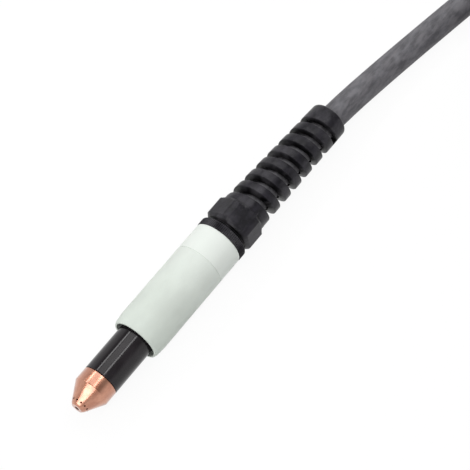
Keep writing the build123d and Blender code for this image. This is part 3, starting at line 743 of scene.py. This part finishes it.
@dataclass
class Gland:
    """Cable gland: ribbed flange with its threaded neck, six-sided nut and spiral bend relief."""

    sleeve_end: float = 145.0
    flange_radius: float = 17.7
    flange_length: float = 5.6
    flange_bevel: float = 2.7
    rim: float = 0.3
    rim_ribs: float = 0.6
    ribs: int = 84
    rib_depth: float = 0.42
    rib_columns: int = 4
    neck_radius: float = 15.0
    neck_length: float = 13.0
    thread_pitch: float = 1.5
    thread_depth: float = 0.85
    thread_length: float = 3.0
    thread_end: float = 3.5
    thread_rows: int = 36
    undercut: float = 1.2
    bore: float = 9.5
    spigot: float = 10.0
    spigot_radius: float = 13.9
    nut_front: float = 153.6
    nut_corner: float = 18.1
    nut_flats: float = 33.0
    nut_roll: float = -9.5
    nut_bevel: float = 2.7
    nut_columns: int = 240
    hex_end: float = 168.8
    rear_bevel: float = 2.0
    collar_radius: float = 15.8
    collar_lap: float = 1.0
    collar_round: float = 0.12
    seat_depth: float = 2.0
    relief_start: float = 173.0
    relief_length: float = 92.2
    relief_bore: float = 10.3
    relief_front: float = 15.7
    relief_rear: float = 13.4
    relief_yaw: float = 1.6
    relief_droop: float = 0.75
    relief_root: float = 6.0
    fit: float = 0.1
    relief_fit: float = 0.15
    slot_lead: float = 3.0
    slot_pitch: float = 11.65
    slot_turns: float = 6.67
    slot_columns: int = 600
    slot_width: float = 4.0
    slot_phase: float = -133.0
    slot_round: float = 0.5
    slot_flare: float = 0.36
    slot_level: float = 12.5
    bore_round: float = 0.35
    ring_round: float = 2.4
    corner_rows: int = 6

    def body(self) -> None:
        """The flange, the neck's thread and the spigot in the sleeve."""
        start, radius = self.sleeve_end, self.flange_radius
        end = start + self.flange_length
        neck = end + self.flange_bevel
        root = self.neck_radius - self.thread_depth
        outline = Outline().path(
            (start - self.spigot, self.bore),
            (start - self.spigot, self.spigot_radius),
            (start, self.spigot_radius),
            (start, radius - self.rim, 0.0, self.rim_ribs),
            (start + self.rim, radius, 0.0, RIBBED),
        )
        outline.line(end - self.rim, radius, steps=6, mark=RIBBED)
        outline.path((end, radius - self.rim, 0.0, self.rim_ribs))
        outline.line(neck - self.undercut, root, steps=3, mark=PLAIN)
        outline.line(neck + self.thread_length, root, steps=self.thread_rows, mark=THREADED)
        outline.path(
            (neck + self.thread_end, root),
            (neck + self.neck_length, root),
            (neck + self.neck_length, self.bore),
        )
        flange = Turning(
            "gland_flange", outline, NYLON_BLACK, columns=self.ribs * self.rib_columns,
            ribs=self.ribs, rib_depth=self.rib_depth, thread_pitch=self.thread_pitch,
            thread_depth=self.thread_depth,
        )
        settle(flange.build(at(0.0)), "gland", "gland_body")

    def nut(self) -> None:
        """Six flats turned down at the corners, and the plain collar."""
        rear = self.hex_end + self.rear_bevel
        inside = self.neck_radius + self.fit
        seat = self.relief_bore + self.relief_fit
        outline = Outline().path(
            (self.nut_front, inside),
            (self.nut_front, self.nut_corner - self.nut_bevel, FIRM_EDGE),
            (self.nut_front + self.nut_bevel, self.nut_corner, SOFT_EDGE),
            (self.hex_end, self.nut_corner, SOFT_EDGE),
            (rear, self.nut_corner - self.rear_bevel, FINE_EDGE),
            (rear, self.collar_radius),
            (self.relief_start + self.collar_lap, self.collar_radius, self.collar_round),
            (self.relief_start + self.collar_lap, seat),
            (self.relief_start - self.seat_depth, seat),
            (self.relief_start - self.relief_root, inside),
        )
        nut = Turning(
            "gland_nut_body", outline, NYLON_BLACK, columns=self.nut_columns, sides=6,
            flats=self.nut_flats, roll=self.nut_roll,
        )
        settle(nut.build(at(0.0)), "gland", "gland_nut")

    def spiral(self) -> None:
        """The bend relief: one wall wound on itself, with the open slot between its turns.

        Each column of the sheet is the wall's outline at one angle, with its four corners
        rounded. The wall starts as a ring in the nut, runs between the slot's turns, and ends
        as a ring. The first and the last column are drawn together to close it.
        """
        tree = GeometryTree("spiral_relief")
        step = self.slot_turns * FULL_TURN / self.slot_columns
        columns = self.slot_columns + round(FULL_TURN / step) + 4
        corner_rows = self.corner_rows
        pitch = tree.number("Slot Pitch", self.slot_pitch * MM)
        width = tree.number("Slot Width", self.slot_width * MM)
        lead = tree.number("Slot Lead", self.slot_lead * MM)
        length = tree.number("Relief Length", self.relief_length * MM)
        inner = tree.number("Bore Radius", self.relief_bore * MM)
        front = tree.number("Front Radius", self.relief_front * MM)
        taper = (self.relief_front - self.relief_rear) / self.relief_length
        sheet, column, row = tree.grid(
            tree.number("Columns", columns),
            tree.number("Rows", 4 * corner_rows + 1),
        )
        past = column.over(self.slot_columns + 1.5)
        inside = tree.least(tree.math("MAXIMUM", column - 1.0 - past, 0.0), float(columns - 4))
        angle = inside * step
        centre = lead + pitch * angle / FULL_TURN
        first = angle.over(FULL_TURN - step / 2)
        start = tree.pick(first, -self.relief_root * MM, centre - pitch + width / 2)
        end = tree.pick(past, centre - width / 2, length)
        quarter = tree.math("FLOOR", (row + 0.5) / corner_rows)
        quarter = quarter * (1.0 - quarter.over(3.5))
        place_in = row - quarter * corner_rows
        place_in = place_in * (1.0 - row.over(4 * corner_rows - 0.5))
        bend = (quarter + place_in / (corner_rows - 1)) * (pi / 2)
        rear_side = 1.0 - quarter.over(0.5) * (1.0 - quarter.over(2.5))
        outer_side = 1.0 - quarter.over(1.5)
        outer_round = tree.pick(past * rear_side, self.slot_round * MM, self.ring_round * MM)
        blend = tree.pick(outer_side, self.bore_round * MM, outer_round)
        along = tree.pick(rear_side, start + blend, end - blend)
        along = along + blend * tree.math("COSINE", bend)
        skin = front - along * tree.number("Taper", taper)
        radius = tree.pick(outer_side, inner + blend, skin - blend)
        radius = radius + blend * tree.math("SINE", bend)
        share = (along - start) / (end - start)
        spread = (radius - self.slot_level * MM) * tree.number("Slot Flare", self.slot_flare)
        along = along + spread * ((1.0 - share) * first - share * (1.0 - past))
        hold = column.over(0.5) * (1.0 - column.over(columns - 1.5))
        middle = (start + end) / 2.0
        along = middle + (along - middle) * hold
        radius = (front + inner) / 2.0 * (1.0 - hold) + radius * hold
        wall = tree.wrap(sheet, along, radius, angle + radians(self.slot_phase))
        outward = tree.add("GeometryNodeFlipFaces", {0: wall}).outputs[0]
        lean = Matrix.Rotation(radians(self.relief_droop), 4, "Y")
        lean = lean @ Matrix.Rotation(radians(-self.relief_yaw), 4, "Z")
        piece = tree.piece(outward, NYLON_BLACK, at(self.relief_start) @ lean)
        settle(piece, "gland")

    def build(self) -> None:
        """Builds the gland's pieces and dresses the two inside it."""
        self.body()
        self.nut()
        self.spiral()
        dress(NYLON_BLACK, "gland_claw")
        dress(SEAL_BLACK, "gland_seal")


# ---- lead and connector

SAME_TURN = 1e-9


@dataclass
class Lead:
    """The lead: out of the gland, along the surface, round the hank and into the connector."""

    diameter: float = 18.0
    length: float = 3.05
    jacket_start: float = 137.0
    near_end: float = 444.0
    run: float = 130.0
    middle: float = -105.0
    radius: float = 67.0
    points_a_turn: int = 24
    curve_order: int = 3
    curve_steps: int = 6
    round_steps: int = 8
    approach: tuple[Spot, ...] = (
        (137.0, 0.0, 18.0608), (178.0, 0.0, 18.0608), (262.0, -2.49, 16.9), (322.0, -7.8, 9.6),
        (400.0, -20.3, 9.0), (424.0, -24.6, 9.0),
    )
    winding: tuple[Spot, ...] = (
        (0.00, 76.0, 9.0), (0.78, 76.0, 9.0), (0.985, 58.0, 9.0), (1.50, 58.0, 9.0),
        (1.73, 58.0, 27.2), (1.97, 76.0, 27.2), (2.48, 76.0, 27.2), (2.68, 76.0, 45.4),
        (2.72, 76.0, 45.4), (2.95, 58.0, 45.4), (3.15, 58.0, 27.2), (3.36, 58.0, 27.2),
        (3.80, 58.0, 63.6), (3.84, 59.0, 63.6), (3.99, 67.0, 62.0), (4.06, 67.0, 57.8),
    )
    tail: tuple[Spot, ...] = ((498.0, -38.0, 57.8), (518.0, -38.0, 57.8))

    def spot(self, turn: float, radius: float, height: float) -> Spot:
        """A point of the hank.

        Args:
            turn: How many turns it lies from the hank's start.
            radius: How far out it lies from the line between the hank's two ends.
            height: Its height above the surface.

        Returns:
            Its station, its distance from the torch's middle plane and its height.
        """
        half = self.run + pi * self.radius
        back, way = divmod((turn % 1.0) * 2 * half, half)
        side = 1 - 2 * back
        angle = max(0.0, way - self.run) / self.radius
        start = self.near_end + self.run * back + side * min(way, self.run)
        reach = side * radius
        return start + reach * sin(angle), self.middle + reach * cos(angle), height

    def hank(self) -> list[Spot]:
        """The turns of the hank: each lies beside or on the one before it, a diameter apart."""
        turns: list[Spot] = []
        last = self.winding[-1][0]
        count = round(last * self.points_a_turn)
        for number in range(count + 1):
            turn = last * number / count
            for (start, radius, height), (end, wide, high) in zip(self.winding, self.winding[1:]):
                if turn <= end + SAME_TURN:
                    part = (turn - start) / (end - start)
                    part = part * part * (3 - 2 * part)
                    radius += (wide - radius) * part
                    height += (high - height) * part
                    break
            turns.append(self.spot(turn, radius, height))
        return turns

    def build(self, with_pieces: list[Object]) -> None:
        """Lays the lead as one spline.

        Args:
            with_pieces: The connector's pieces on its far end, and the straps; not used.
        """
        route = [*self.approach, *self.hank(), *self.tail]
        curve = bpy.data.curves.new("lead", "CURVE")
        curve.dimensions = "3D"
        curve.bevel_depth = self.diameter / 2 * MM
        curve.bevel_resolution = self.round_steps
        curve.resolution_u = self.curve_steps
        curve.use_fill_caps = True
        spline = curve.splines.new("NURBS")
        spline.points.add(len(route) - 1)
        for point, (station, across, height) in zip(spline.points, route):
            point.co = (*place(station, across, height), 1.0)
        spline.order_u = self.curve_order
        spline.use_endpoint_u = True
        curve.materials.append(LEAD_GREY.build())
        lead = link("lead", curve)
        settle(lead, "lead", "torch_lead", "lead_coil", "lead_tail")
        tuple(place(self.jacket_start))


@dataclass
class Strap:
    """The strap round the end of the hank, drawn close to its four runs."""

    station: float = 639.25
    across: float = -105.0
    height: float = 18.85
    half_along: float = 8.95
    half_high: float = 8.35
    bend: float = 9.15
    thickness: float = 1.3
    width: float = 16.0
    columns: int = 96
    rows: int = 4

    def build(self) -> Object:
        """Makes the strap: a flat band along the hull of the runs."""
        tree = GeometryTree("hank_band")
        bend = tree.number("Bend Radius", self.bend * MM)
        thickness = tree.number("Thickness", self.thickness * MM)
        width = tree.number("Width", self.width * MM)
        sheet, column, row = tree.grid(
            tree.number("Columns", self.columns + 1),
            tree.number("Rows", self.rows + 1),
        )
        row = row * (1.0 - row.over(self.rows - 0.5))
        column = column * (1.0 - column.over(self.columns - 0.5))
        turn = (column + 0.5) * (FULL_TURN / self.columns)
        outside = row.over(0.5) * (1.0 - row.over(2.5))
        bow = bend + thickness * outside
        sine, cosine = tree.math("SINE", turn), tree.math("COSINE", turn)
        sideways = bow * sine + tree.math("SIGN", sine) * (self.half_along * MM)
        upward = bow * cosine + tree.math("SIGN", cosine) * (self.half_high * MM)
        radius = tree.math("SQRT", sideways * sideways + upward * upward)
        angle = tree.math("ARCTAN2", sideways, upward)
        along = (row.over(1.5) - 0.5) * width
        band = tree.wrap(sheet, along, radius, angle)
        matrix = at(self.station, self.across, self.height) @ Matrix.Rotation(pi / 2, 4, "Z")
        piece = tree.piece(band, STRAP_WOVEN, matrix)
        return settle(piece, "strap", "hank_strap")


@dataclass
class Connector:
    """The connector at the lead's far end: boot, body, fluted coupling nut, face and pins."""

    mouth: float = 478.0
    across: float = -38.0
    height: float = 57.8
    bore: float = 9.15
    boot_length: float = 52.0
    boot_front: float = 12.0
    boot_rear: float = 16.5
    boot_grip: float = 13.5
    boot_lip_round: float = 1.4
    boot_shoulder: float = 10.0
    boot_shoulder_round: float = 8.0
    boot_columns: int = 96
    body_overlap: float = 8.0
    grooves: int = 5
    groove_pitch: float = 6.0
    groove_width: float = 2.4
    groove_floor: float = 11.2
    groove_rise: float = 0.65
    nut_ledge: float = 70.0
    nut_length: float = 24.0
    nut_radius: float = 21.5
    nut_bevel: float = 1.0
    nut_rim: float = 2.6
    body_radius: float = 18.0
    fit: float = 0.1
    flange: float = 1.1
    flutes: int = 18
    flute_depth: float = 1.1
    flute_shape: float = 2.2
    flute_columns: int = 12
    nut_seat: float = 80.7

    def boot(self) -> Object:
        """The ribbed rubber boot."""
        shoulder = self.boot_length - self.boot_shoulder
        grip = self.boot_length - self.body_overlap
        slope = (self.boot_rear - self.boot_front) / shoulder
        outline = Outline().path(
            (0.0, self.bore, SOFT_EDGE), (0.0, self.boot_front, self.boot_lip_round)
        )
        for groove in range(self.grooves):
            start = self.groove_pitch * (groove + 1)
            end = start + self.groove_width
            floor = self.groove_floor + groove * self.groove_rise
            outline.path(
                (start, self.boot_front + slope * start, SOFT_EDGE),
                (start, floor, SOFT_EDGE),
                (end, floor, SOFT_EDGE),
                (end, self.boot_front + slope * end, SOFT_EDGE),
            )
        outline.path(
            (shoulder, self.boot_rear, self.boot_shoulder_round),
            (grip, self.boot_rear, FINE_EDGE),
            (grip, self.boot_grip),
            (self.boot_length, self.boot_grip),
            (self.boot_length, self.bore),
        )
        boot = Turning("connector_boot", outline, BOOT_BLACK, columns=self.boot_columns)
        piece = boot.build(at(self.mouth, self.across, self.height))
        return settle(piece, "boot", "plug_boot")

    def nut(self) -> Object:
        """The fluted coupling nut."""
        start, end = self.nut_ledge, self.nut_ledge + self.nut_length
        flutes = self.nut_rim + self.nut_bevel
        radius, bevel = self.nut_radius, self.nut_bevel
        outline = Outline().path(
            (start, self.body_radius + self.fit),
            (start, radius - bevel, FINE_EDGE),
            (start + bevel, radius, FIRM_EDGE),
            (start + self.nut_rim, radius),
        )
        outline.line(start + flutes, radius, steps=3, mark=RIBBED)
        outline.line(end - flutes, radius, steps=8, mark=RIBBED)
        outline.path(
            (end - self.nut_rim, radius),
            (end - bevel, radius, FIRM_EDGE),
            (end, radius - bevel, FINE_EDGE),
            (end, self.body_radius + self.flange),
            (self.nut_seat, self.body_radius + self.flange),
            (self.nut_seat, self.body_radius + self.fit),
        )
        nut = Turning(
            "coupling_nut_fluted", outline, PLUG_BLACK, columns=self.flutes * self.flute_columns,
            ribs=self.flutes, rib_depth=self.flute_depth, rib_power=self.flute_shape,
        )
        piece = nut.build(at(self.mouth, self.across, self.height))
        return settle(piece, "plug", "plug_nut", body=Body.COUPLING_NUT)

    def build(self) -> list[Object]:
        """Builds the connector.

        Returns:
            All the pieces on the lead's far end, with the straps that hold the hank.
        """
        return [
            self.boot(),
            self.nut(),
            Strap().build(),
            *dress(PLUG_BLACK, "plug_body"),
            *dress(PLUG_FACE_GREY, "plug_face"),
            *dress(BRASS, "power_pin", "signal_pins"),
            *dress(STRAP_WOVEN, "boot_strap"),
        ]


# ---- camera, floor and light


@dataclass(frozen=True)
class Lamp:
    """A soft lamp that faces the torch.

    It stands at a distance in metres, turned about the torch from the camera's side, positive
    towards the photograph's upper left, and leaning towards the lead, both in degrees. Its
    power is in watts, and its sides, along the torch and round it, are in metres.
    """

    name: str
    turn: float
    distance: float
    lean: float
    power: float
    sides: Span

    def build(self, eye: Vector, aim: Vector) -> None:
        """Sets the lamp, for a camera at the eye that looks at the aim."""
        data = bpy.data.lights.new(self.name, "AREA")
        data.shape = "RECTANGLE"
        data.size, data.size_y = self.sides
        data.energy = self.power
        view = eye - aim
        angle = atan2(view.z, view.y) - radians(self.turn)
        lean = radians(self.lean)
        flat = cos(lean) * self.distance
        spot = aim + Vector(
            (sin(lean) * self.distance, cos(angle) * flat, sin(angle) * flat)
        )
        back = (spot - aim).normalized()
        side = back.cross(Vector((1.0, 0.0, 0.0))).normalized()
        lamp = link(self.name, data)
        lamp.rotation_euler = Matrix((side.cross(back), side, back)).transposed().to_euler()
        lamp.location = spot


@dataclass
class Studio:
    """The camera at the photograph's angle, a pale floor, two long strips and three soft boxes."""

    eye: Spot = (-0.42536, -0.34587, 1.12942)
    aim: Spot = (0.02309, -0.00530, 0.01805)
    view_angle: float = 14.0
    farthest: float = 100.0
    floor_half: float = 6.0
    floor_colour: tuple[float, ...] = (0.9, 0.9, 0.9, 1.0)
    floor_roughness: float = 0.9
    floor_specular: float = 0.1
    floor_glow: float = 0.93
    world_level: float = 0.28
    ceiling: Span = (0.25, 0.65)
    lamps: tuple[Lamp, ...] = (
        Lamp("strip_near", 7.0, 1.9, 3.0, 11.5, (2.2, 0.24)),
        Lamp("strip_upper", 56.0, 1.9, 3.0, 11.5, (2.2, 0.24)),
        Lamp("between", 31.0, 2.0, 21.0, 7.0, (0.9, 1.2)),
        Lamp("nose", 22.0, 1.9, -47.0, 15.5, (0.6, 1.7)),
        Lamp("rear", 20.0, 1.6, 58.0, 3.0, (0.9, 0.9)),
    )

    def rays(self, graph: Graph, *kinds: str) -> Field:
        """1 for rays of these kinds, which show a thing, and 0 for those that only light it."""
        path = graph.add("ShaderNodeLightPath")
        total, *others = (Field(graph, path.outputs[f"Is {kind} Ray"]) for kind in kinds)
        for other in others:
            total = total + other
        return graph.least(total, 1.0)

    def camera(self) -> None:
        """Sets the camera."""
        data = bpy.data.cameras.new("camera")
        data.angle = radians(self.view_angle)
        data.clip_end = self.farthest
        camera = link("camera", data)
        camera.location = self.eye
        away = Vector(self.aim) - Vector(self.eye)
        camera.rotation_euler = away.to_track_quat("-Z", "Y").to_euler()
        bpy.context.scene.camera = camera

    def floor(self) -> None:
        """Lays the pale floor, which keeps a faint shadow."""
        half = self.floor_half
        mesh = bpy.data.meshes.new("floor")
        corners = [(-half, -half, 0), (half, -half, 0), (half, half, 0), (-half, half, 0)]
        mesh.from_pydata(corners, [], [(0, 1, 2, 3)])
        material = bpy.data.materials.new("floor_pale")
        material.use_nodes = True
        graph = Graph(material.node_tree)
        shader = graph.fill(graph.find("BSDF_PRINCIPLED"), {
            "Base Color": self.floor_colour,
            "Roughness": self.floor_roughness,
            "Specular IOR Level": self.floor_specular,
        })
        glow = graph.add("ShaderNodeEmission", {"Color": WHITE, "Strength": 1.0})
        seen = self.rays(graph, "Camera", "Glossy", "Transmission") * self.floor_glow
        mix = graph.add("ShaderNodeMixShader", {0: seen, 1: shader.outputs[0], 2: glow.outputs[0]})
        graph.fill(graph.find("OUTPUT_MATERIAL"), {"Surface": mix.outputs[0]})
        mesh.materials.append(material)
        link("floor", mesh)

    def world(self) -> None:
        """Sets the surrounding light: white where it is seen, but for a dimmer mirrored ceiling."""
        world = bpy.data.worlds.new("studio")
        world.use_nodes = True
        graph = Graph(world.node_tree)
        where = graph.add("ShaderNodeTexCoord").outputs["Generated"]
        overhead = graph.ramp(graph.split(where)[2], self.ceiling)
        mirrored = self.rays(graph, "Camera", "Glossy", "Transmission") * (1.0 - overhead)
        shown = graph.least(self.rays(graph, "Camera") + mirrored, 1.0)
        strength = shown * (1.0 - self.world_level) + self.world_level
        graph.fill(graph.find("BACKGROUND"), {"Color": WHITE, "Strength": strength})
        bpy.context.scene.world = world

    def build(self) -> None:
        """Sets everything but the camera."""
        self.floor()
        self.world()
        for lamp in self.lamps:
            lamp.build(Vector(self.eye), Vector(self.aim))
        bpy.context.scene.view_settings.view_transform = "Standard"


def main() -> None:
    """Builds the torch and its surroundings in order."""
    logging.basicConfig(level=logging.INFO, format="%(name)s: %(message)s")
    studio = Studio()
    studio.camera()
    connector = Connector().build()
    Lead().build(connector)
    FrontEnd().build()
    Sleeve().build()
    Gland().build()
    studio.build()


if __name__ == "__main__":
    main()
